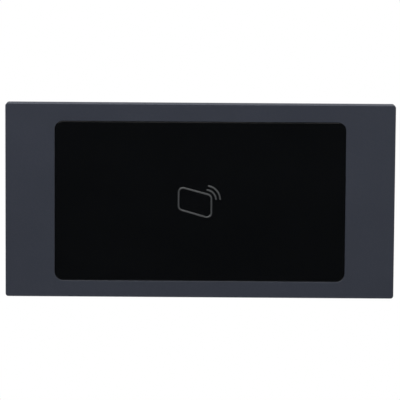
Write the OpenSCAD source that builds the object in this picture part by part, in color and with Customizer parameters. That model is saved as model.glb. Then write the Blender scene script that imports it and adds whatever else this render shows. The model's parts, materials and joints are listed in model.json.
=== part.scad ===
// RFID card-reader module for a modular door station.
// +X is right, +Z is up and the front looks towards -Y. The origin is the centre of the four
// carrier holes on the seating plane, so the front face is at y = -front_d.

/* [Front frame] */
// Width of the module's front
front_w = 110; // [108:1:116]
// Height of the module's front
front_h = 55; // [55:0.5:60]
// Depth of the frame, from its front face to the seating plane
front_d = 8; // [8:0.5:10]
// Depth of the rim, behind which the frame's sides step in
rim_d = 5; // [4:0.5:6]
// Radius of the frame's outer corners
corner_r = 0.8; // [0.3:0.1:2]
// Chamfer along the frame's front edges
edge_chamfer = 0.2; // [0.1:0.05:0.3]
// Width of the window opening
window_w = 82.2; // [80:0.2:83]
// Height of the window opening
window_h = 45.4; // [43:0.2:45.4]
// Corner radius of the window opening
window_r = 2.4; // [1.5:0.1:3]

/* [Carrier fixing] */
// Distance between the carrier holes, left to right
carrier_hole_dx = 104; // [104:0.5:105]
// Distance between the carrier holes, bottom to top
carrier_hole_dz = 36; // [30:1:40]
// Radius of a tapped carrier hole
carrier_hole_r = 1.25; // [1:0.05:1.3]

/* [Symbol] */
// Width of a stroke of the symbol
stroke_w = 0.45; // [0.3:0.05:0.5]
// Depth of the symbol's inlay
inlay_d = 0.3; // [0.2:0.1:0.5]
// Radius of the inner radio wave
inner_wave_r = 2.7; // [2.6:0.02:2.9]
// Radius of the outer radio wave
outer_wave_r = 3.88; // [3.8:0.02:4.2]

/* [Boards] */
// Width of the main board
board_w = 83; // [82:0.5:83.5]
// Height of the main board
board_h = 42.4; // [42:0.2:43]
// Gap between the two boards
board_gap = 7; // [7:0.5:7.5]
// Turns of the antenna coil
coil_turns = 5; // [3:1:6]

/* [Rear housing] */
// Distance from the seating plane to the housing's back
housing_d = 22; // [22:0.5:24]
// Wall thickness of the housing
wall = 1.8; // [1.6:0.1:1.8]

/* [Moving parts] */
// Travel of the tamper plunger
tamper_travel = 3; // [2:0.5:3]
// Travel of an address slider
slider_travel = 2; // [1.5:0.1:2]

/* [Hidden] */
$fn = 48;

eps = 0.01;
over = 1;              // how far a cut runs past the face it starts from

// Depths along Y, from the front to the back
front_y = -front_d;
web_d = 1.5;                                  // metal in front of the lens flange
lens_drop = 0.1;                              // the lens sits this far below the front face
tape_d = 0.3;
flange_t = 1.8;                               // lens flange
lens_y = front_y + lens_drop;
pocket_y = front_y + web_d;
lens_flange_y = pocket_y + tape_d;
lens_back_y = lens_flange_y + flange_t;
shroud_d = 1.8;
antenna_y = lens_back_y + shroud_d;           // front of the antenna board
antenna_t = 1;
antenna_back_y = antenna_y + antenna_t;
board_y = antenna_back_y + board_gap;         // front of the main board
board_t = 1.6;
board_back_y = board_y + board_t;
recess_y = -2.4;                              // floor of the frame's rear recess
gasket_t = 0.4;
relief_d = 0.3;                               // keeps all but the two seats off the carrier
back_in_y = housing_d - wall;                 // inside of the housing's back wall
floor_t = 1.6;                                // floor of the connector step
floor_y = board_back_y + 6.4;                 // outside of that floor

// Front frame
rim_step = 0.8;                               // shadow gap between the rim and the carrier
back_w = front_w - 2 * rim_step;              // the frame behind its rim
back_h = front_h - 2 * rim_step;
back_r = 0.6;
seat_w = 5;                                   // width of each seat at the frame's ends
recess_w = back_w - 2 * seat_w;
recess_h = back_h - 3.4;
recess_r = 1.5;
window_z = -0.15;                             // the window's centre, below the front's
lap = 1.5;                                    // lens flange behind the web, on every side
pocket_w = window_w + 2 * lap;
pocket_h = window_h + 2 * lap;
pocket_r = 2.5;
window_chamfer = 0.1;
carrier_hole_d = 6;
frame_screw_x = recess_w / 2 - 2.4;
frame_screw_zs = [-19, 0, 19];
frame_pilot_r = 0.8;
frame_pilot_d = 4;

// Lens
lens_gap = 0.1;
lens_edge = 0.15;                             // chamfer of the lens's front edge

// Symbol: the card's corners are its stroke's centre lines
card_left_x = -6.05;
card_right_x = 3.22;
card_top_left_z = 4.13;
card_bottom_left_z = -2.33;
card_top_right_z = 1.67;
card_bottom_right_z = -4.94;
card_corner_r = 1.25;
card_w = card_right_x - card_left_x;
card_top_slope = (card_top_right_z - card_top_left_z) / card_w;
card_bottom_slope = (card_bottom_right_z - card_bottom_left_z) / card_w;
wave_centre = [1.79, 0.47];
inner_wave_end = 88;                          // angle at which the wave stops, from +X
outer_wave_end = 83;

// Light box behind the symbol
shroud_w = 20;
shroud_h = 15;
shroud_wall = 1.6;
shroud_z = -0.5;
led_xs = [-5, 0, 5];

// Antenna board
antenna_w = 82;
antenna_h = 42.6;
coil_w = 71;
coil_h = 33;
trace_w = 0.7;
trace_pitch = 1.3;
copper_t = 0.1;
ferrite_w = 72;
ferrite_h = 34;
ferrite_t = 0.3;
post_x = 38.5;
post_z = 18.8;
screw_clear_r = 1.1;

// Chips and other parts on the main board's front
chip_at = [-22, 0.5];
transceiver_at = [9, 3];
can_at = [-3, -14];

// Screws
screw_head_r = 1.8;
screw_head_h = 1.3;
thread_gap = 0.02;                            // between a shank and the hole that it cuts its thread in

// Board link
link_x = 26;
link_w = 10.4;
link_h = 4.4;
link_pitch = 2;
link_rows = 2;
link_columns = 5;
link_header_d = 2.5;
link_socket_d = 4.2;
link_pin_w = 0.5;

// Rear housing
flange_gap = 0.1;
flange_w = recess_w - 2 * flange_gap;
flange_h = recess_h - 2 * flange_gap;
flange_r = recess_r - flange_gap;
flange_y = recess_y + gasket_t;
tub_w = 89;
tub_h = 47.6;
tub_r = 3;
tub_chamfer = 0.8;
cavity_w = tub_w - 2 * wall;
cavity_h = tub_h - 2 * wall;
cavity_r = tub_r - wall;
post_r = 2.6;
post_pilot_r = 0.8;
post_pilot_d = 6;
bay_left = -28.5;
bay_right = 21;
bay_top = 4;
label_w = 60;
label_h = 11;
label_t = 0.15;
label_pocket_d = 0.3;
label_x = -4;
label_z = 13.6;
label_r = 1;
gusset_zs = [-9.5, 9.5];
gusset_t = 1.4;
gusset_reach = 3.6;                           // out from the tub's side
gusset_d = 7;                                 // back from the flange
grip_w = 1.2;                                 // grooves that a finger grips, in the tub's ends
grip_ys = [12.5, 15, 17.5];

// Bus sockets, at the centre of each
socket_xs = [-20.5, -4.5];
socket_z = -7;
socket_w = 12.4;
socket_h = 6.4;
socket_d = 7.4;
socket_wall = 0.9;
socket_floor = 1.4;
socket_gap = 0.3;
pin_count = 4;
pin_pitch = 2.5;
pin_w = 0.64;
pin_hole_r = 0.5;
pin_tail = 1.4;                               // of a pin, past the board's front

// Address switch
dip_x = 12;
dip_z = -7;
dip_w = 11.7;
dip_h = 7.6;
dip_d = 6.2;
slider_count = 4;
slider_pitch = 2.54;
slider_w = 1.2;
slider_l = 1.5;
slider_up = 0.8;                              // of a slider, above the switch body
slot_gap = 0.1;
slot_w = slider_w + 2 * slot_gap;
slot_l = slider_l + slider_travel + 2 * slot_gap;
slot_d = 1.4;
dip_top_y = board_back_y + dip_d;

// Rubber cover over the address switch
cover_skirt_gap = 0.35;                       // to the switch body
cover_skirt = 1;
cover_fit = 0.1;                              // to the opening in the floor
cover_lip = 1.1;
cover_inner_w = dip_w + 2 * cover_skirt_gap;
cover_inner_h = dip_h + 2 * cover_skirt_gap;
cover_skirt_w = cover_inner_w + 2 * cover_skirt;
cover_skirt_h = cover_inner_h + 2 * cover_skirt;
dip_window_w = cover_skirt_w + 2 * cover_fit;
dip_window_h = cover_skirt_h + 2 * cover_fit;
cover_top_t = 1.2;
cover_top_y = dip_top_y + slider_up + 0.4;    // underside of the cover's top
cover_tab_w = 7;
cover_tab_h = 1.6;
cover_tab_d = 2.2;

// Tamper switch
tamper_x = 34;
tamper_body = 8.4;
tamper_body_d = 6;
tamper_body_y = board_back_y + tamper_body_d;
stem_r = 1.1;
stem_bore_r = 1.2;
stem_front_y = board_back_y + tamper_travel + 0.8;
stem_bore_y = board_back_y + 0.6;
collar_r = 3.2;
collar_t = 1.4;
collar_y = back_in_y - 0.1 - collar_t;
button_r = 2.2;
button_fit = 0.1;
button_out = tamper_travel;                   // proud of the housing's back at rest
guide_in_r = 3.4;
guide_out_r = 4.6;
guide_d = 6.2;
spring_wire_r = 0.17;
spring_r = 1.9;
spring_turns = 5;
spring_sides = 8;
spring_steps = 20;                            // rings in each turn

// Buzzer
buzzer_x = -36.5;
buzzer_r = 4.5;
buzzer_d = 5.5;
chimney_in_r = 4.7;
chimney_out_r = 5.7;
chimney_gap = 0.4;                            // behind the buzzer
sound_hole_r = 0.6;
sound_ring_r = 2;
membrane_r = 3.6;
membrane_t = 0.2;

// ---------- shapes along Y ----------

// A 2D outline in X and Z made solid from y0 to y1
module slab(y0, y1)
    translate([0, y1, 0]) rotate([90, 0, 0]) linear_extrude(y1 - y0) children();

// A round rod or bore from y0 to y1
module rod(r, y0, y1)
    translate([0, y0, 0]) rotate([-90, 0, 0]) cylinder(r = r, h = y1 - y0);

// A cone from radius r0 at y0 to radius r1 at y1
module cone(r0, r1, y0, y1)
    translate([0, y0, 0]) rotate([-90, 0, 0]) cylinder(r1 = r0, r2 = r1, h = y1 - y0);

module block(w, h, y0, y1) slab(y0, y1) square([w, h], center = true);

module rounded_rect(w, h, r) {
    square([w - 2 * r, h], center = true);
    square([w, h - 2 * r], center = true);
    for (x = [-1, 1], z = [-1, 1]) translate([x * (w / 2 - r), z * (h / 2 - r)]) circle(r);
}

module rounded_block(w, h, r, y0, y1) slab(y0, y1) rounded_rect(w, h, r);

// A slab whose outline is w by h at y1 and larger by grow on every side at y0
module tapered_block(w, h, r, y0, y1, grow) {
    rotate([90, 0, 90]) linear_extrude(w - 2 * r, center = true)
        polygon([[y0, h / 2 + grow], [y1, h / 2], [y1, -h / 2], [y0, -h / 2 - grow]]);
    linear_extrude(h - 2 * r, center = true)
        polygon([[w / 2 + grow, y0], [w / 2, y1], [-w / 2, y1], [-w / 2 - grow, y0]]);
    for (x = [-1, 1], z = [-1, 1])
        translate([x * (w / 2 - r), 0, z * (h / 2 - r)]) cone(r + grow, r, y0, y1);
}

module at(x, z) translate([x, 0, z]) children();

module at_posts() for (x = [-post_x, post_x], z = [-post_z, post_z]) at(x, z) children();

module at_frame_screws()
    for (x = [-frame_screw_x, frame_screw_x], z = frame_screw_zs) at(x, z) children();

module at_carrier_holes()
    for (x = [-carrier_hole_dx / 2, carrier_hole_dx / 2], z = [-carrier_hole_dz / 2, carrier_hole_dz / 2])
        at(x, z) children();

function centred(count, pitch) = [for (i = [0 : count - 1]) (i - (count - 1) / 2) * pitch];

// A pan-head screw whose head stands on y = 0 and whose shank runs to y = -length
module pan_screw(length, shank_r, head_r, head_h) {
    edge = 0.4;
    cross_l = 1.9;
    cross_w = 0.5;
    cross_d = 0.7;
    difference() {
        union() {
            rod(head_r, 0, head_h - edge);
            cone(head_r, head_r - edge, head_h - edge, head_h);
            rod(shank_r, -length, 0);
        }
        for (turn = [45, 135]) rotate([0, turn, 0])
            block(cross_l, cross_w, head_h - cross_d, head_h + over);
    }
}

// ---------- front ----------

module front_frame() {
    color("#383B44") difference() {
        union() {
            rounded_block(front_w, front_h, corner_r, front_y + edge_chamfer, front_y + rim_d);
            rounded_block(back_w, back_h, back_r, front_y + rim_d - over, 0);
            tapered_block(front_w, front_h, corner_r, front_y, front_y + edge_chamfer, -edge_chamfer);
        }
        at(0, window_z) {
            rounded_block(window_w, window_h, window_r, front_y - over, pocket_y + over);
            tapered_block(window_w, window_h, window_r, front_y - over, front_y + window_chamfer,
                          window_chamfer + over);
            rounded_block(pocket_w, pocket_h, pocket_r, pocket_y, over);
        }
        rounded_block(recess_w, recess_h, recess_r, recess_y, over);
        block(recess_w, front_h + 2 * over, -relief_d, over);
        at_carrier_holes() rod(carrier_hole_r, -carrier_hole_d, over);
        at_frame_screws() rod(frame_pilot_r, recess_y - frame_pilot_d, over);
    }
}

// Centre of the circle that rounds a card corner at [x, z]. The card lies towards into_x and into_z
// from the corner, and slope is that of the edge that meets the upright side there
function card_corner(x, z, into_x, into_z, slope) =
    [x + into_x * card_corner_r,
     z + card_corner_r * (into_x * slope + into_z * sqrt(1 + slope * slope))];

// The card's outline, moved out by edge from its stroke's centre line
module card_shape(edge) {
    centres = [card_corner(card_left_x, card_top_left_z, 1, -1, card_top_slope),
               card_corner(card_right_x, card_top_right_z, -1, -1, card_top_slope),
               card_corner(card_right_x, card_bottom_right_z, -1, 1, card_bottom_slope),
               card_corner(card_left_x, card_bottom_left_z, 1, 1, card_bottom_slope)];
    hull() for (c = centres) translate(c) circle(card_corner_r + edge, $fn = 32);
}

// An arc of radius r from the +X direction up to last_angle
module wave(r, last_angle) {
    reach = 2 * r;
    intersection() {
        difference() {
            circle(r + stroke_w / 2);
            circle(r - stroke_w / 2);
        }
        polygon([[0, 0], [reach, 0], [reach, reach],
                 [reach * cos(last_angle), reach * sin(last_angle)]]);
    }
}

module symbol() {
    difference() {
        card_shape(stroke_w / 2);
        card_shape(-stroke_w / 2);
    }
    translate(wave_centre) {
        wave(inner_wave_r, inner_wave_end);
        wave(outer_wave_r, outer_wave_end);
    }
}

module window_lens() {
    w = window_w - 2 * lens_gap;
    h = window_h - 2 * lens_gap;
    r = window_r - lens_gap;
    color("#0B0C0F") difference() {
        at(0, window_z) {
            tapered_block(w, h, r, lens_y, lens_y + lens_edge, -lens_edge);
            rounded_block(w, h, r, lens_y + lens_edge, lens_flange_y + eps);
            rounded_block(pocket_w - 2 * lens_gap, pocket_h - 2 * lens_gap, pocket_r - lens_gap,
                          lens_flange_y, lens_back_y);
        }
        slab(lens_y - over, lens_y + inlay_d) symbol();
    }
}

module symbol_inlay() color("#525558") slab(lens_y, lens_y + inlay_d) symbol();

module lens_adhesive() {
    inset = 0.3;
    color("#17181A") at(0, window_z) difference() {
        rounded_block(pocket_w - 2 * lens_gap, pocket_h - 2 * lens_gap, pocket_r - lens_gap,
                      pocket_y, lens_flange_y);
        rounded_block(window_w + 2 * inset, window_h + 2 * inset, window_r + inset,
                      pocket_y - over, lens_flange_y + over);
    }
}

// ---------- light box ----------

module light_diffuser() {
    w = shroud_w - 2 * shroud_wall - 0.2;
    h = shroud_h - 2 * shroud_wall - 0.2;
    color("#EDEDE6") at(0, shroud_z) rounded_block(w, h, 0.6, lens_back_y, lens_back_y + 0.5);
}

module light_shroud() {
    color("#1D1E20") at(0, shroud_z) difference() {
        rounded_block(shroud_w, shroud_h, 2, lens_back_y, antenna_y);
        rounded_block(shroud_w - 2 * shroud_wall, shroud_h - 2 * shroud_wall, 0.7,
                      lens_back_y - over, antenna_y + over);
    }
}

module backlight_leds() {
    color("#E9E4C8") for (x = led_xs) at(x, shroud_z) {
        block(2, 1.25, antenna_y - 0.4, antenna_y);
        block(1.3, 1.25, antenna_y - 0.9, antenna_y - 0.4);
    }
}

// ---------- antenna board ----------

module antenna_board() {
    color("#1E5B3A") difference() {
        rounded_block(antenna_w, antenna_h, 1.5, antenna_y, antenna_back_y);
        at_posts() rod(screw_clear_r, antenna_y - over, antenna_back_y + over);
    }
}

// A straight run of copper along X or Z between two points, with round ends
module trace(from, to) {
    run = [abs(to[0] - from[0]), abs(to[1] - from[1])];
    translate((from + to) / 2) square([max(run[0], trace_w), max(run[1], trace_w)], center = true);
    for (p = [from, to]) translate(p) circle(trace_w / 2);
}

// Corners of the rectangular spiral, from the outside in: each turn steps in at its last corner
function spiral_corners() = [for (i = [0 : coil_turns - 1])
    let (x = coil_w / 2 - i * trace_pitch, z = coil_h / 2 - i * trace_pitch)
    each [[x, z], [-x, z], [-x, -z], [x - trace_pitch, -z]]];

module antenna_coil() {
    start = [coil_w / 2, -coil_h / 2 + 3];
    corners = concat([start], spiral_corners());
    color("#B8763A") slab(antenna_y - copper_t, antenna_y)
        for (i = [0 : len(corners) - 2]) trace(corners[i], corners[i + 1]);
}

module tuning_capacitors() {
    color("#A58B62") for (x = [12, 14.5, 17, 19.5]) at(x, -9) block(1.6, 0.8, antenna_y - 0.8, antenna_y);
}

module ferrite_sheet() {
    color("#3A3B3D") difference() {
        rounded_block(ferrite_w, ferrite_h, 1, antenna_back_y, antenna_back_y + ferrite_t);
        at(link_x, 0) block(link_w + 1, link_h + 1, antenna_back_y - over, antenna_back_y + over);
    }
}

// ---------- board link ----------

module at_link_pins()
    for (x = centred(link_columns, link_pitch), z = centred(link_rows, link_pitch))
        at(link_x + x, z) children();

module board_link_header() {
    color("#1B1C1F") difference() {
        at(link_x, 0) block(link_w, link_h, antenna_back_y, antenna_back_y + link_header_d);
        at_link_pins() block(link_pin_w, link_pin_w, antenna_back_y - over, board_y);
    }
}

module board_link_pins() {
    color("#C9A64B") at_link_pins()
        block(link_pin_w, link_pin_w, antenna_back_y, board_y - 0.6);
}

module board_link_socket() {
    slot = link_pin_w + 0.2;
    color("#1B1C1F") difference() {
        at(link_x, 0) block(link_w, link_h, board_y - link_socket_d, board_y);
        at_link_pins() block(slot, slot, antenna_back_y, board_y - 0.4);
    }
}

// ---------- main board ----------

module main_board() {
    color("#1C5A38") difference() {
        rounded_block(board_w, board_h, 1, board_y, board_back_y);
        at_posts() rod(screw_clear_r, board_y - over, board_back_y + over);
        at_bus_pins(0) rod(pin_hole_r, board_y - over, board_back_y + over);
        at_bus_pins(1) rod(pin_hole_r, board_y - over, board_back_y + over);
    }
}

module reader_chip() color("#202124") at(-6, 7) block(5, 5, board_y - 0.85, board_y);

module controller_chip()
    color("#202124") at(chip_at[0], chip_at[1]) difference() {
        block(7, 7, board_y - 1.5, board_y - 0.1);
        at(-2.6, 2.6) rod(0.35, board_y - 1.5 - over, board_y - 1.4);
    }

// A row of gull-wing leads on one side of a chip: each foot lies on the board's front
module lead_row(count, pitch, side, reach, lead_w) {
    for (z = centred(count, pitch)) {
        at(side + reach * 0.3, z) block(reach * 0.6, lead_w, board_y - 0.8, board_y - 0.6);
        at(side + reach * 0.55, z) block(0.16, lead_w, board_y - 0.8, board_y);
        at(side + reach * 0.75, z) block(reach * 0.5, lead_w, board_y - 0.16, board_y);
    }
}

module controller_leads() {
    color("#B9BCC0") at(chip_at[0], chip_at[1])
        for (turn = [0, 90, 180, 270]) rotate([0, turn, 0]) lead_row(12, 0.5, 3.5, 1, 0.22);
}

module bus_transceiver()
    color("#202124") at(transceiver_at[0], transceiver_at[1]) block(3.9, 4.9, board_y - 1.6, board_y - 0.1);

module transceiver_leads() {
    color("#B9BCC0") at(transceiver_at[0], transceiver_at[1])
        for (turn = [0, 180]) rotate([0, turn, 0]) lead_row(4, 1.27, 1.95, 1.05, 0.4);
}

module crystal() {
    color("#BFC2C6") at(-6, -3) {
        rounded_block(11, 4.4, 2.19, board_y - 3.6, board_y);
        rounded_block(11.6, 5, 2.49, board_y - 0.5, board_y);
    }
}

module power_inductor() {
    color("#3B3C3F") at(12, -13) difference() {
        rounded_block(6, 6, 1, board_y - 3, board_y);
        rod(1.9, board_y - 3 - over, board_y - 2.6);
    }
}

module capacitor_can() {
    color("#C5C8CC") at(can_at[0], can_at[1]) {
        rod(3.15, board_y - 5.4, board_y - 0.6);
        cone(2.9, 3.15, board_y - 5.7, board_y - 5.4);
    }
}

module capacitor_base() {
    color("#1B1C1F") at(can_at[0], can_at[1]) rounded_block(6.6, 6.6, 0.8, board_y - 0.6, board_y);
}

// Resistors and small capacitors in rows beside the chips
module chip_passives() {
    color("#8E7A5A") {
        for (x = centred(6, 2.6), z = [6.4, 9]) at(-24 + x, z) block(1.6, 0.8, board_y - 0.5, board_y);
        for (x = centred(5, 2.6)) at(-20 + x, -11) block(1.6, 0.8, board_y - 0.5, board_y);
        for (z = centred(4, 2.2)) at(4, 3 + z) block(1.6, 0.8, board_y - 0.5, board_y);
        for (z = centred(3, 2.4)) at(19, -12 + z) block(2, 1.25, board_y - 0.7, board_y);
    }
}

// ---------- sound ----------

module buzzer() {
    color("#1B1C1F") at(buzzer_x, 0) difference() {
        rod(buzzer_r, board_back_y, board_back_y + buzzer_d);
        rod(1.2, board_back_y + 2, board_back_y + buzzer_d + over);
    }
}

module sound_membrane() color("#D8DADB") at(buzzer_x, 0) rod(membrane_r, back_in_y - membrane_t, back_in_y);

module at_sound_holes() {
    at(buzzer_x, 0) children();
    for (angle = [0 : 60 : 300])
        at(buzzer_x + sound_ring_r * cos(angle), sound_ring_r * sin(angle)) children();
}

// ---------- bus sockets ----------

module at_bus_pins(which)
    for (x = centred(pin_count, pin_pitch)) at(socket_xs[which] + x, socket_z) children();

module bus_socket(which) {
    y0 = board_back_y;
    y1 = board_back_y + socket_d;
    color("#E8E6DC") difference() {
        at(socket_xs[which], socket_z) block(socket_w, socket_h, y0, y1);
        at(socket_xs[which], socket_z)
            block(socket_w - 2 * socket_wall, socket_h - 2 * socket_wall, y0 + socket_floor, y1 + over);
        // keying slots in the upper wall
        for (x = [-3.2, 3.2])
            at(socket_xs[which] + x, socket_z + socket_h / 2) block(1.2, 3, y0 + 3.4, y1 + over);
        at_bus_pins(which) block(pin_w, pin_w, y0 - over, y1);
    }
}

module bus_pins(which) {
    solder_r = pin_hole_r + 0.3;
    color("#C9CCD0") at_bus_pins(which) {
        block(pin_w, pin_w, board_y - pin_tail, board_back_y + socket_d - 1.2);
        cone(pin_w / 2, solder_r, board_y - 0.8, board_y);
    }
}

module bus_in_socket() bus_socket(0);
module bus_in_pins() bus_pins(0);
module bus_out_socket() bus_socket(1);
module bus_out_pins() bus_pins(1);

// ---------- address switch ----------

function slider_x(i) = dip_x + (i - (slider_count - 1) / 2) * slider_pitch;

module dip_switch_body() {
    color("#A3231F") difference() {
        at(dip_x, dip_z) block(dip_w, dip_h, board_back_y, dip_top_y);
        for (i = [0 : slider_count - 1])
            at(slider_x(i), dip_z) block(slot_w, slot_l, dip_top_y - slot_d, dip_top_y + over);
    }
}

module dip_slider(i) {
    z = dip_z - slot_l / 2 + slot_gap + slider_l / 2;
    color("#F1F0EA") at(slider_x(i), z) {
        block(slider_w, slider_l, dip_top_y - slot_d + slot_gap, dip_top_y + slider_up - 0.3);
        block(slider_w, slider_l - 0.5, dip_top_y + slider_up - 0.3, dip_top_y + slider_up);
    }
}

module dip_slider_1() dip_slider(0);
module dip_slider_2() dip_slider(1);
module dip_slider_3() dip_slider(2);
module dip_slider_4() dip_slider(3);

module dip_cover() {
    skirt_y = floor_y - 1.2;
    top_y = cover_top_y + cover_top_t;
    lip_w = dip_window_w + 2 * cover_lip;
    lip_h = dip_window_h + 2 * cover_lip;
    color("#26272A") at(dip_x, dip_z) {
        difference() {
            union() {
                rounded_block(lip_w, lip_h, 1.2, floor_y, top_y - 0.4);
                tapered_block(lip_w - 0.8, lip_h - 0.8, 0.8, top_y - 0.4, top_y, 0.4);
                rounded_block(cover_skirt_w, cover_skirt_h, 0.8, skirt_y, floor_y);
            }
            rounded_block(cover_inner_w, cover_inner_h, 0.4, skirt_y - over, cover_top_y);
        }
        rounded_block(cover_tab_w, cover_tab_h, 0.5, top_y, top_y + cover_tab_d);
        rounded_block(cover_tab_w, cover_tab_h + 0.8, 0.7, top_y + cover_tab_d - 0.7, top_y + cover_tab_d);
    }
}

// ---------- tamper switch ----------

module tamper_switch_body() {
    color("#2A2B2E") at(tamper_x, 0) difference() {
        rounded_block(tamper_body, tamper_body, 0.6, board_back_y, tamper_body_y);
        rod(stem_bore_r, stem_bore_y, tamper_body_y + over);
        for (z = [-1, 1])
            at(0, z * tamper_body / 2) block(3, 0.8, board_back_y - over, tamper_body_y - 1.5);
    }
}

module tamper_contacts() {
    color("#C9A64B") for (z = [-1, 1]) at(tamper_x, z * (tamper_body / 2 - 0.2)) {
        block(2.4, 0.3, board_back_y, tamper_body_y - 2);
        at(0, z * 0.75) block(2.4, 1.2, board_back_y, board_back_y + 0.25);
    }
}

module tamper_plunger() {
    out_y = housing_d + button_out;
    tip = 0.5;
    color("#E4E2DA") at(tamper_x, 0) {
        rod(stem_r, stem_front_y, collar_y);
        rod(collar_r, collar_y, collar_y + collar_t);
        rod(button_r, collar_y + collar_t, out_y - tip);
        cone(button_r, button_r - tip, out_y - tip, out_y);
    }
}

// A compression spring along Y, swept as a ring of points at each step
module tamper_spring() {
    y0 = tamper_body_y + spring_wire_r;
    y1 = collar_y - spring_wire_r;
    steps = spring_turns * spring_steps;
    rings = [for (s = [0 : steps])
        let (angle = 360 * s / spring_steps, y = y0 + (y1 - y0) * s / steps)
        for (k = [0 : spring_sides - 1])
            let (around = 360 * k / spring_sides, r = spring_r + spring_wire_r * cos(around))
            [r * cos(angle), y + spring_wire_r * sin(around), r * sin(angle)]];
    sides = [for (s = [0 : steps - 1], k = [0 : spring_sides - 1])
        let (a = s * spring_sides + k, b = s * spring_sides + (k + 1) % spring_sides)
        [a, a + spring_sides, b + spring_sides, b]];
    first = [for (k = [0 : spring_sides - 1]) k];
    last = [for (k = [spring_sides - 1 : -1 : 0]) steps * spring_sides + k];
    color("#B4B7BB") at(tamper_x, 0) polyhedron(rings, concat([first], sides, [last]));
}

// ---------- fasteners ----------

module stack_screws() {
    spare = 1;
    length = board_back_y + post_pilot_d - spare - antenna_y;
    color("#B4B7BB") at_posts() translate([0, antenna_y, 0]) rotate([0, 0, 180])
        pan_screw(length, post_pilot_r - thread_gap, screw_head_r, screw_head_h);
}

module board_spacers() {
    color("#E4E2DA") at_posts() difference() {
        rod(2.2, antenna_back_y, board_y);
        rod(screw_clear_r, antenna_back_y - over, board_y + over);
    }
}

module housing_screws() {
    spare = 0.6;
    length = -relief_d - recess_y + frame_pilot_d - spare;
    color("#B4B7BB") at_frame_screws() translate([0, -relief_d, 0])
        pan_screw(length, frame_pilot_r - thread_gap, screw_head_r, screw_head_h);
}

// ---------- rear housing ----------

module housing_outside() {
    rounded_block(flange_w, flange_h, flange_r, flange_y, -relief_d);
    rounded_block(tub_w, tub_h, tub_r, -relief_d - eps, housing_d - tub_chamfer);
    tapered_block(tub_w - 2 * tub_chamfer, tub_h - 2 * tub_chamfer, tub_r - tub_chamfer,
                  housing_d - tub_chamfer, housing_d, tub_chamfer);
}

// Triangular webs between the flange and the tub's two ends
module gussets() {
    foot = tub_w / 2 - eps;
    for (side = [0, 180], z = gusset_zs) rotate([0, side, 0])
        translate([0, 0, z - gusset_t / 2]) linear_extrude(gusset_t)
            polygon([[foot, -relief_d - eps], [foot + gusset_reach, -relief_d - eps],
                     [foot + gusset_reach, 0.6], [foot, gusset_d]]);
}

// Grooves across the tub's two ends
module grips() {
    for (side = [-1, 1], y = grip_ys)
        translate([side * tub_w / 2, y, 0]) cube([0.8, grip_w, 26], center = true);
}

// What the hollow leaves standing: the step's walls, the posts and the two guide rings
module housing_inside() {
    side = floor_t;
    rib_w = 3;               // of the rib that ties each post to the tub's end
    rib_t = 1.2;
    rib_out = 2.4;
    rib_back = 1;
    translate([bay_left - side, floor_y - floor_t, -tub_h])
        cube([bay_right - bay_left + 2 * side, housing_d, tub_h + bay_top + side]);
    at_posts() rod(post_r, board_back_y, housing_d);
    for (x = [-1, 1], z = [-1, 1])
        at(x * (post_x + rib_out), z * post_z) block(rib_w, rib_t, board_back_y + rib_back, housing_d);
    at(tamper_x, 0) rod(guide_out_r, back_in_y - guide_d, housing_d);
    at(buzzer_x, 0) rod(chimney_out_r, board_back_y + buzzer_d + chimney_gap, housing_d);
}

module housing_hollow() {
    difference() {
        rounded_block(cavity_w, cavity_h, cavity_r, flange_y - over, back_in_y);
        housing_inside();
    }
    at_posts() rod(post_pilot_r, board_back_y - eps, board_back_y + post_pilot_d);
    at(tamper_x, 0) {
        rod(guide_in_r, back_in_y - guide_d - eps, back_in_y);
        rod(button_r + button_fit, back_in_y - eps, housing_d + over);
    }
    at(buzzer_x, 0) rod(chimney_in_r, board_back_y, back_in_y);
    at_sound_holes() rod(sound_hole_r, back_in_y - eps, housing_d + over);
}

module connector_step() {
    translate([bay_left, floor_y, -tub_h])
        cube([bay_right - bay_left, housing_d, tub_h + bay_top]);
    window_y0 = floor_y - floor_t - over;
    window_y1 = floor_y + over;
    for (x = socket_xs)
        at(x, socket_z) block(socket_w + 2 * socket_gap, socket_h + 2 * socket_gap, window_y0, window_y1);
    at(dip_x, dip_z) rounded_block(dip_window_w, dip_window_h, 0.9, window_y0, window_y1);
}

// A raised arrow that shows which way is up
module up_arrow() {
    slab(housing_d - eps, housing_d + 0.3)
        polygon([[-2, 0], [-0.7, 0], [-0.7, -3.5], [0.7, -3.5], [0.7, 0], [2, 0], [0, 3]]);
}

module rear_housing() {
    label_gap = 0.3;
    color("#2A2C30") difference() {
        union() {
            housing_outside();
            gussets();
            at(tamper_x, 14) up_arrow();
        }
        grips();
        housing_hollow();
        connector_step();
        at(label_x, label_z) rounded_block(label_w + 2 * label_gap, label_h + 2 * label_gap, label_r,
                                           housing_d - label_pocket_d, housing_d + over);
        at_frame_screws() rod(screw_clear_r, flange_y - over, over);
    }
}

module housing_gasket() {
    color("#17181A") difference() {
        rounded_block(flange_w, flange_h, flange_r, recess_y, flange_y);
        rounded_block(cavity_w, pocket_h + 2 * lens_gap, pocket_r, recess_y - over, flange_y + over);
        at_frame_screws() rod(screw_clear_r, recess_y - over, flange_y + over);
    }
}

module rating_label() {
    y = housing_d - label_pocket_d;
    color("#B9BCC0") at(label_x, label_z) rounded_block(label_w, label_h, label_r, y, y + label_t);
}

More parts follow.
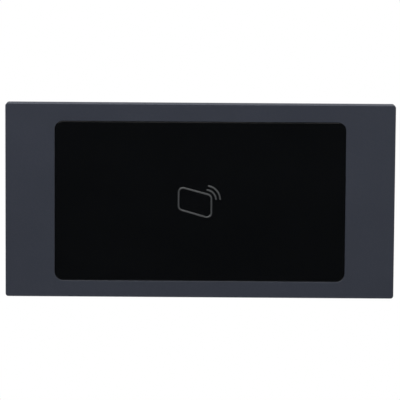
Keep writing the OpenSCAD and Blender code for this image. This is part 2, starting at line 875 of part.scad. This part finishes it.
front_frame();
window_lens();
symbol_inlay();
lens_adhesive();
light_diffuser();
light_shroud();
backlight_leds();
antenna_board();
antenna_coil();
tuning_capacitors();
ferrite_sheet();
board_link_header();
board_link_pins();
board_link_socket();
main_board();
reader_chip();
controller_chip();
controller_leads();
bus_transceiver();
transceiver_leads();
crystal();
power_inductor();
capacitor_can();
capacitor_base();
chip_passives();
buzzer();
sound_membrane();
bus_in_socket();
bus_in_pins();
bus_out_socket();
bus_out_pins();
dip_switch_body();
dip_slider_1();
dip_slider_2();
dip_slider_3();
dip_slider_4();
dip_cover();
tamper_switch_body();
tamper_contacts();
tamper_plunger();
tamper_spring();
stack_screws();
board_spacers();
rear_housing();
housing_gasket();
housing_screws();
rating_label();
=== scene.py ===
"""Looks of the RFID card-reader module: finishes, the sprung coil, the studio and the camera."""
import json
import math

import bpy
from mathutils import Matrix, Vector


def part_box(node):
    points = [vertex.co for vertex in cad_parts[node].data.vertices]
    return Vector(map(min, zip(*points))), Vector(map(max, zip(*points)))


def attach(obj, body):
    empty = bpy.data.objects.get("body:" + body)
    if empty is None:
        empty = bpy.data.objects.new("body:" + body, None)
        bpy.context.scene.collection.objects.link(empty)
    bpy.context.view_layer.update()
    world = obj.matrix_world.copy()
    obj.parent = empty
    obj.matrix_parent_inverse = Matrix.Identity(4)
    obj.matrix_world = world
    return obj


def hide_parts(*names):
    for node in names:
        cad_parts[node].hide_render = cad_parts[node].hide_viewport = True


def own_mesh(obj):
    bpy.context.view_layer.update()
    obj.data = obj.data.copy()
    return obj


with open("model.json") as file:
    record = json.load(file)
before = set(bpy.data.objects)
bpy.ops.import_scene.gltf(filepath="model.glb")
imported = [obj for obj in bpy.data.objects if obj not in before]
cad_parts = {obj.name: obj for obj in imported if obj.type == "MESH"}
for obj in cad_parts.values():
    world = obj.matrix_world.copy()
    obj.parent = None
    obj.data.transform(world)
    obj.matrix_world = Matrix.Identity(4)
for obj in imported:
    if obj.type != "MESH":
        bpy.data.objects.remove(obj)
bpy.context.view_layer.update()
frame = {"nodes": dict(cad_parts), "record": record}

MM = 0.001
nodes = frame["nodes"]


# ---------- geometry of the CAD nodes ----------

# Width of the rounded edge, in millimetres; 0 leaves the node's edges as they are
EDGE_WIDTHS = {
    "front_frame": 0.12,
    "window_lens": 0.03,
    "symbol_inlay": 0,
    "rear_housing": 0.25,
    "dip_cover": 0.3,
    "bus_in_socket": 0.12,
    "bus_out_socket": 0.12,
    "dip_switch_body": 0.15,
    "tamper_plunger": 0.15,
    "housing_screws": 0.1,
    "stack_screws": 0.1,
    "rating_label": 0,
    "antenna_coil": 0,
    "tamper_spring": 0,
}
OTHER_EDGE_WIDTH = 0.06
WELD_DISTANCE = 0.002 * MM
FLAT_ANGLE = math.radians(0.5)            # triangles of one flat face differ by less
EDGE_ANGLE = math.radians(32)             # faces that meet at more have a rounded edge


def soften(node, width):
    """Joins the tessellated faces of a CAD node into whole ones and rounds its edges by width."""
    piece = nodes[node]
    weld = piece.modifiers.new("weld", "WELD")
    weld.merge_threshold = WELD_DISTANCE
    if width:
        merge = piece.modifiers.new("whole_faces", "DECIMATE")
        merge.decimate_type = "DISSOLVE"
        merge.angle_limit = FLAT_ANGLE
        bevel = piece.modifiers.new("rounded_edges", "BEVEL")
        bevel.width = width * MM
        bevel.segments = 2
        bevel.limit_method = "ANGLE"
        bevel.angle_limit = EDGE_ANGLE
        bevel.harden_normals = True
        bevel.loop_slide = False
    for polygon in piece.data.polygons:
        polygon.use_smooth = True
    normals = piece.modifiers.new("even_shading", "WEIGHTED_NORMAL")
    normals.keep_sharp = True


for name in nodes:
    soften(name, EDGE_WIDTHS.get(name, OTHER_EDGE_WIDTH))


# ---------- surface nodes ----------

# Most of a noise's values lie between these
NOISE_LOW, NOISE_HIGH = 0.3, 0.7

# Dot product of the true normal with the bevelled one, on a flat face and at the middle of an edge
FLAT_DOT, EDGE_DOT = 0.995, 0.9


class Surface:
    """A Principled material, with short calls that add nodes to it. Lengths are in millimetres."""

    def __init__(self, slot, roughness, metallic=0.0, **sockets):
        self.slot = slot
        self.material = bpy.data.materials.new(slot)
        self.material.use_nodes = True
        self.tree = self.material.node_tree
        self.shader = self.tree.nodes["Principled BSDF"]
        self.colour = (*slot_colour(slot), 1.0)
        self.shader.inputs["Base Color"].default_value = self.colour
        self.shader.inputs["Roughness"].default_value = roughness
        self.shader.inputs["Metallic"].default_value = metallic
        for socket, value in sockets.items():
            self.shader.inputs[socket.replace("_", " ")].default_value = value
        self.place = self.add("ShaderNodeTexCoord").outputs["Object"]

    def add(self, kind, inputs=None, **settings):
        node = self.tree.nodes.new(kind)
        for key, value in settings.items():
            setattr(node, key, value)
        for key, value in (inputs or {}).items():
            if isinstance(value, bpy.types.NodeSocket):
                self.tree.links.new(value, node.inputs[key])
            else:
                node.inputs[key].default_value = value
        return node

    def stretched(self, sizes):
        """Object coordinates in which a feature is sizes millimetres long on each axis."""
        scale = [1 / (size * MM) for size in sizes]
        return self.add("ShaderNodeMapping", {"Vector": self.place, "Scale": scale}).outputs["Vector"]

    def noise(self, size, detail=2.0, rough=0.5):
        """Noise with features of size millimetres, or of a size for each axis."""
        sizes = size if isinstance(size, tuple) else (size,) * 3
        inputs = {"Vector": self.stretched(sizes), "Scale": 1.0, "Detail": detail, "Roughness": rough}
        return self.add("ShaderNodeTexNoise", inputs).outputs["Fac"]

    def cells(self, size, output="Distance"):
        inputs = {"Vector": self.stretched((size,) * 3), "Scale": 1.0}
        return self.add("ShaderNodeTexVoronoi", inputs).outputs[output]

    def ranged(self, value, low, high, to_low=0.0, to_high=1.0):
        inputs = {"Value": value, "From Min": low, "From Max": high,
                  "To Min": to_low, "To Max": to_high}
        return self.add("ShaderNodeMapRange", inputs).outputs["Result"]

    def spread(self, noise, to_low=0.0, to_high=1.0):
        return self.ranged(noise, NOISE_LOW, NOISE_HIGH, to_low, to_high)

    def maths(self, operation, a, b):
        return self.add("ShaderNodeMath", {0: a, 1: b}, operation=operation).outputs["Value"]

    def mixed(self, factor, first, second):
        """The Mix node's colour sockets: 0 is the factor, 6 and 7 the colours, 2 the result."""
        inputs = {0: factor, 6: first, 7: second}
        return self.add("ShaderNodeMix", inputs, data_type="RGBA").outputs[2]

    def shade(self, factor):
        """The slot's colour, made darker or lighter by factor."""
        return tuple(min(1.0, c * factor) for c in self.colour[:3]) + (1.0,)

    def paint(self, colour):
        self.tree.links.new(colour, self.shader.inputs["Base Color"])

    def polish(self, roughness):
        self.tree.links.new(roughness, self.shader.inputs["Roughness"])

    def emboss(self, height, depth, under=None):
        """Bump of depth millimetres from a height between 0 and 1, over the bump under, if any."""
        inputs = {"Height": height, "Distance": depth * MM, "Strength": 1.0}
        if under is not None:
            inputs["Normal"] = under
        normal = self.add("ShaderNodeBump", inputs).outputs["Normal"]
        self.tree.links.new(normal, self.shader.inputs["Normal"])
        return normal

    def edges(self, radius):
        """1 along the outer edges, 0 on flat faces, over a band of radius millimetres."""
        rounded = self.add("ShaderNodeBevel", {"Radius": radius * MM}, samples=4).outputs["Normal"]
        flat = self.add("ShaderNodeNewGeometry").outputs["Normal"]
        both = self.add("ShaderNodeVectorMath", {0: rounded, 1: flat}, operation="DOT_PRODUCT")
        return self.ranged(both.outputs["Value"], FLAT_DOT, EDGE_DOT)


def slot_colour(slot):
    found = [m for m in frame["record"]["materials"] if m["slot"] == slot]
    return found[0]["base_color"]


# ---------- finishes ----------

def moulded(slot, roughness, grain, depth, **sockets):
    """Plastic or rubber out of a spark-eroded mould: fine grain, slight flow marks and rubbed edges."""
    s = Surface(slot, roughness, **sockets)
    grains = s.spread(s.noise(grain, rough=0.6))
    flow = s.spread(s.noise((22, 9, 14), detail=3.0))
    worn = s.maths("MULTIPLY", s.edges(0.35), s.ranged(s.noise(1.6), 0.35, 0.7))
    body = s.mixed(flow, s.shade(0.88), s.shade(1.1))
    body = s.mixed(s.maths("MULTIPLY", grains, 0.3), body, s.shade(1.5))
    s.paint(s.mixed(s.maths("MULTIPLY", worn, 0.5), body, s.shade(2.2)))
    base = s.maths("ADD", s.ranged(flow, 0, 1, roughness - 0.04, roughness + 0.04),
                   s.ranged(grains, 0, 1, -0.05, 0.05))
    s.polish(s.maths("SUBTRACT", base, s.maths("MULTIPLY", worn, 0.1)))
    s.emboss(grains, depth)
    return s


def drawn_metal(slot, roughness, along):
    """Bright metal with fine lines along one axis (0, 1 or 2) and dull smudges."""
    s = Surface(slot, roughness, metallic=1.0)
    sizes = [0.05, 0.05, 0.05]
    sizes[along] = 2.5
    lines = s.noise(tuple(sizes))
    smudge = s.noise(1.3, detail=4.0)
    s.paint(s.mixed(s.ranged(smudge, 0.35, 0.7), s.shade(0.8), s.shade(1.08)))
    s.polish(s.spread(smudge, roughness * 0.75, roughness * 1.3))
    s.emboss(lines, 0.004)
    return s


FLECK_COLOUR = (0.059, 0.058, 0.077, 1)    # warmer and lighter than frame_paint
PAD_COLOUR = (0.55, 0.42, 0.16, 1)


def powder_coat():
    """Fine satin coat over cast metal: soft orange peel, grain, light flecks and rubbed edges."""
    s = Surface("frame_paint", 0.42, IOR=1.5, Specular_IOR_Level=0.4)
    peel = s.spread(s.noise(0.7))
    grain = s.noise(0.16, detail=1.0)
    cloud = s.spread(s.noise((30, 8, 18), detail=3.0))
    speck = s.ranged(s.cells(0.2, output="Color"), 0.1, 0.95)
    body = s.mixed(cloud, s.shade(0.96), s.shade(1.04))
    body = s.mixed(s.maths("MULTIPLY", speck, 0.3), body, FLECK_COLOUR)
    s.paint(s.mixed(s.maths("MULTIPLY", s.edges(0.3), 0.2), body, s.shade(1.5)))
    s.polish(s.maths("ADD", s.ranged(cloud, 0, 1, 0.39, 0.43), s.ranged(speck, 0, 1, -0.03, 0.05)))
    s.emboss(grain, 0.012, under=s.emboss(peel, 0.012))
    return s


def gloss_window():
    """Polished black acrylic, with a faint wiped haze and hairline scratches in its gloss."""
    s = Surface("window_gloss", 0.06, IOR=1.49)
    haze = s.noise((26, 10, 15), detail=5.0, rough=0.6)
    hairs = s.noise((9, 0.05, 0.05), detail=1.0)
    scratch = s.maths("MULTIPLY", s.ranged(hairs, 0.68, 0.75), 0.05)
    s.paint(s.mixed(s.spread(haze), s.colour, s.shade(1.2)))
    s.polish(s.maths("ADD", s.ranged(haze, 0.35, 0.75, 0.04, 0.09), scratch))
    s.emboss(s.noise(14, detail=0.0), 0.01)
    return s


def inlay():
    """Grey filling of the symbol, a little uneven where it was flooded in."""
    s = Surface("symbol_grey", 0.45)
    flood = s.noise(0.5, detail=3.0)
    s.paint(s.mixed(s.spread(flood), s.shade(0.6), s.shade(0.72)))
    s.polish(s.spread(flood, 0.4, 0.5))
    s.emboss(s.noise(0.08), 0.003)
    return s


def circuit_board():
    """Solder mask over buried tracks: lighter, slightly raised runs, and gold pads."""
    s = Surface("circuit_board", 0.32, IOR=1.5, Coat_Weight=0.3)
    quarter_turn = {"Vector": s.stretched((1, 1, 1)), "Axis": (1, 0, 0), "Angle": math.pi / 2}
    upright = s.add("ShaderNodeVectorRotate", quarter_turn).outputs["Vector"]
    runs = s.add("ShaderNodeTexBrick", {"Vector": upright, "Scale": 0.35, "Mortar Size": 0.06})
    track = runs.outputs["Fac"]
    pads = s.ranged(s.cells(3.1), 0.16, 0.12)
    weave = s.noise((0.4, 0.4, 0.08), detail=1.0)
    mask = s.mixed(s.maths("MULTIPLY", track, 0.5), s.shade(0.8), s.shade(1.7))
    s.paint(s.mixed(s.maths("MULTIPLY", pads, 0.6), mask, PAD_COLOUR))
    s.polish(s.spread(weave, 0.26, 0.38))
    s.emboss(track, 0.03)
    return s


def film_label():
    """Silver polyester film: fine brushed lines along its length and a dull haze."""
    s = Surface("label_film", 0.34, metallic=0.6)
    lines = s.noise((6, 0.05, 0.04))
    haze = s.noise(9, detail=3.0)
    s.paint(s.mixed(s.spread(lines), s.shade(0.92), s.shade(1.08)))
    s.polish(s.spread(haze, 0.3, 0.42))
    s.emboss(lines, 0.003)
    return s


def porous(slot, roughness, size, depth, contrast):
    """Foam, membrane, ferrite or ceramic: packed cells, darker between them."""
    s = Surface(slot, roughness)
    cells = s.cells(size)
    s.paint(s.mixed(s.ranged(cells, 0.1, 0.7), s.shade(1 + contrast), s.shade(1 - contrast)))
    s.polish(s.ranged(cells, 0.1, 0.7, roughness - 0.06, roughness + 0.06))
    s.emboss(cells, depth)
    return s


FINISHES = {s.slot: s.material for s in (
    powder_coat(),
    gloss_window(),
    inlay(),
    circuit_board(),
    film_label(),
    moulded("housing_plastic", roughness=0.48, grain=0.22, depth=0.03),
    moulded("black_plastic", roughness=0.42, grain=0.2, depth=0.015),
    moulded("chip_epoxy", roughness=0.55, grain=0.1, depth=0.012),
    moulded("white_nylon", roughness=0.38, grain=0.25, depth=0.01),
    moulded("opal_plastic", roughness=0.45, grain=0.2, depth=0.005),
    moulded("dip_red", roughness=0.28, grain=0.3, depth=0.006),
    moulded("black_rubber", roughness=0.62, grain=0.18, depth=0.02, Sheen_Weight=0.15),
    moulded("led_package", roughness=0.4, grain=0.1, depth=0.004),
    porous("black_foam", roughness=0.85, size=0.25, depth=0.05, contrast=0.4),
    porous("membrane", roughness=0.8, size=0.2, depth=0.03, contrast=0.15),
    porous("ferrite", roughness=0.6, size=0.12, depth=0.01, contrast=0.3),
    porous("ceramic_part", roughness=0.45, size=0.1, depth=0.005, contrast=0.15),
    drawn_metal("copper", roughness=0.3, along=0),
    drawn_metal("gold_pin", roughness=0.25, along=1),
    drawn_metal("tinned_lead", roughness=0.3, along=1),
    drawn_metal("can_metal", roughness=0.25, along=1),
    drawn_metal("screw_steel", roughness=0.32, along=1),
    drawn_metal("spring_steel", roughness=0.28, along=1),
)}


def finish(piece, slot):
    piece.data.materials.clear()
    piece.data.materials.append(FINISHES[slot])


for part in frame["record"]["subparts"]:
    finish(nodes[part["node"]], part["material_slot"])


# ---------- tamper spring ----------

COIL_TURNS = 6
COIL_FLAT_TURNS = 0.75                    # at each end, as on a closed compression spring
COIL_WIRE_RADIUS = 0.17 * MM
COIL_SIDES = 12                           # round the wire
COIL_STEPS = 48                           # along each turn


def coil_mesh(name, centre, y0, y1, radius):
    """A helix along Y, centred on (x, z), between y0 and y1. Its end turns lie flat."""
    wire, sides = COIL_WIRE_RADIUS, COIL_SIDES
    count = COIL_TURNS * COIL_STEPS
    rising_turns = COIL_TURNS - 2 * COIL_FLAT_TURNS
    verts, faces = [], []
    for i in range(count + 1):
        turn = i / COIL_STEPS
        lift = min(max((turn - COIL_FLAT_TURNS) / rising_turns, 0.0), 1.0)
        y = y0 + wire + (y1 - y0 - 2 * wire) * lift
        angle = 2 * math.pi * turn
        for k in range(sides):
            around = 2 * math.pi * k / sides
            r = radius + wire * math.cos(around)
            verts.append((centre[0] + r * math.cos(angle), y + wire * math.sin(around),
                          centre[1] + r * math.sin(angle)))
    for i in range(count):
        for k in range(sides):
            a, b = i * sides + k, i * sides + (k + 1) % sides
            faces.append((a, a + sides, b + sides, b))
    faces.append(tuple(range(sides)))
    faces.append(tuple(count * sides + k for k in reversed(range(sides))))
    mesh = bpy.data.meshes.new(name)
    mesh.from_pydata(verts, [], faces)
    for polygon in mesh.polygons:
        polygon.use_smooth = len(polygon.vertices) == 4
    return mesh


def tamper_coil():
    """The real coil in place of the CAD one."""
    low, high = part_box("tamper_spring")
    centre = ((low.x + high.x) / 2, (low.z + high.z) / 2)
    radius = (high.x - low.x) / 2 - COIL_WIRE_RADIUS
    mesh = coil_mesh("tamper_coil", centre, low.y, high.y, radius)
    coil = bpy.data.objects.new("tamper_coil", mesh)
    bpy.context.scene.collection.objects.link(coil)
    finish(coil, "spring_steel")
    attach(coil, "module")
    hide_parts("tamper_spring")
    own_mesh(coil)


tamper_coil()


# ---------- camera ----------

AIM_HEIGHT = 0.345 * MM
AIM = Vector((0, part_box("front_frame")[0].y, AIM_HEIGHT))
VIEW_DISTANCE = 768.9 * MM
VIEW_AZIMUTH = math.radians(0.134)
VIEW_ELEVATION = math.radians(6.78)
VIEW_ROLL = math.radians(0.376)
LENS, SENSOR_WIDTH = 244.95, 36
CLIP_START, CLIP_END = 0.01, 20


def camera():
    """The photograph's view, fitted to the outline's corners, the top face and the window."""
    data = bpy.data.cameras.new("camera")
    data.lens = LENS
    data.sensor_width = SENSOR_WIDTH
    data.clip_start, data.clip_end = CLIP_START, CLIP_END
    eye = bpy.data.objects.new("camera", data)
    bpy.context.scene.collection.objects.link(eye)
    level = math.cos(VIEW_ELEVATION)
    back = Vector((math.sin(VIEW_AZIMUTH) * level,
                   -math.cos(VIEW_AZIMUTH) * level,
                   math.sin(VIEW_ELEVATION)))
    turn = (-back).to_track_quat("-Z", "Y").to_matrix() @ Matrix.Rotation(VIEW_ROLL, 3, "Z")
    eye.matrix_world = Matrix.Translation(AIM + back * VIEW_DISTANCE) @ turn.to_4x4()
    bpy.context.scene.camera = eye


camera()


# ---------- studio ----------

FLOOR_Z = -0.35
FLOOR_RADIUS = 1.0
FLOOR_FADE = (0.6, 0.98, 1.0, 0.0)        # opaque within the first radius, clear from the second
FLOOR_COLOUR = (0.75, 0.75, 0.75, 1)
FLOOR_ROUGHNESS = 0.8
WHITE = (1, 1, 1, 1)

# Strength of the sky's light along each axis of a ray's direction: from, to, strength at each
SKY = {
    "Z": (0.05, 0.9, 0.08, 0.42),         # dim round the horizon, bright overhead
    "Y": (-0.85, -0.25, 0.05, 1.0),       # dark in front, where the window would mirror it
}


def smooth_range(tree, value, ends):
    """Maps value smoothly; ends are the two it comes from and the two it goes to."""
    node = tree.nodes.new("ShaderNodeMapRange")
    node.interpolation_type = "SMOOTHSTEP"
    for key, end in zip(("From Min", "From Max", "To Min", "To Max"), ends):
        node.inputs[key].default_value = end
    tree.links.new(value, node.inputs["Value"])
    return node.outputs["Result"]


def floor():
    """A pale round table top that fades out at its rim, so that it leaves no horizon."""
    bpy.ops.mesh.primitive_circle_add(vertices=96, radius=FLOOR_RADIUS, fill_type="NGON",
                                      location=(0, 0, FLOOR_Z))
    top = bpy.context.object
    top.name = "floor"
    material = bpy.data.materials.new("floor")
    material.use_nodes = True
    tree = material.node_tree
    shader = tree.nodes["Principled BSDF"]
    shader.inputs["Base Color"].default_value = FLOOR_COLOUR
    shader.inputs["Roughness"].default_value = FLOOR_ROUGHNESS
    place = tree.nodes.new("ShaderNodeTexCoord")
    length = tree.nodes.new("ShaderNodeVectorMath")
    length.operation = "LENGTH"
    tree.links.new(place.outputs["Object"], length.inputs[0])
    opaque = smooth_range(tree, length.outputs["Value"], FLOOR_FADE)
    tree.links.new(opaque, shader.inputs["Alpha"])
    top.data.materials.append(material)


def softbox(name, place, size, power):
    """A rectangular lamp aimed at the origin. Lengths in metres, power in watts."""
    data = bpy.data.lights.new(name, "AREA")
    data.shape = "RECTANGLE"
    data.size, data.size_y = size
    data.energy = power
    lamp = bpy.data.objects.new(name, data)
    bpy.context.scene.collection.objects.link(lamp)
    lamp.location = place
    lamp.rotation_euler = (-Vector(place)).to_track_quat("-Z", "Y").to_euler()
    lamp.visible_camera = False


def surroundings():
    """White behind the object, and the soft light of SKY on it."""
    world = bpy.data.worlds.new("studio")
    bpy.context.scene.world = world
    world.use_nodes = True
    tree = world.node_tree
    tree.nodes.clear()
    add, link = tree.nodes.new, tree.links.new
    place = add("ShaderNodeTexCoord")
    split = add("ShaderNodeSeparateXYZ")
    link(place.outputs["Generated"], split.inputs[0])
    strength = add("ShaderNodeMath")
    strength.operation = "MULTIPLY"
    for index, (axis, ends) in enumerate(SKY.items()):
        link(smooth_range(tree, split.outputs[axis], ends), strength.inputs[index])
    lit, seen = add("ShaderNodeBackground"), add("ShaderNodeBackground")
    link(strength.outputs["Value"], lit.inputs["Strength"])
    for node in (lit, seen):
        node.inputs["Color"].default_value = WHITE
    ray = add("ShaderNodeLightPath")
    choose = add("ShaderNodeMixShader")
    out = add("ShaderNodeOutputWorld")
    link(ray.outputs["Is Camera Ray"], choose.inputs["Fac"])
    link(lit.outputs["Background"], choose.inputs[1])
    link(seen.outputs["Background"], choose.inputs[2])
    link(choose.outputs["Shader"], out.inputs["Surface"])


floor()
surroundings()
softbox("key", place=(-0.12, -0.28, 0.4), size=(0.7, 0.2), power=2.8)
softbox("top", place=(0.0, 0.2, 1.0), size=(1.0, 0.8), power=4.2)
softbox("back_left", place=(0.6, 0.8, 0.45), size=(0.5, 0.6), power=6.0)
softbox("back_right", place=(-0.8, 0.5, 0.5), size=(0.5, 0.6), power=6.0)
softbox("side", place=(0.9, -0.2, 0.3), size=(0.4, 0.6), power=1.5)
bpy.context.scene.view_settings.view_transform = "Standard"
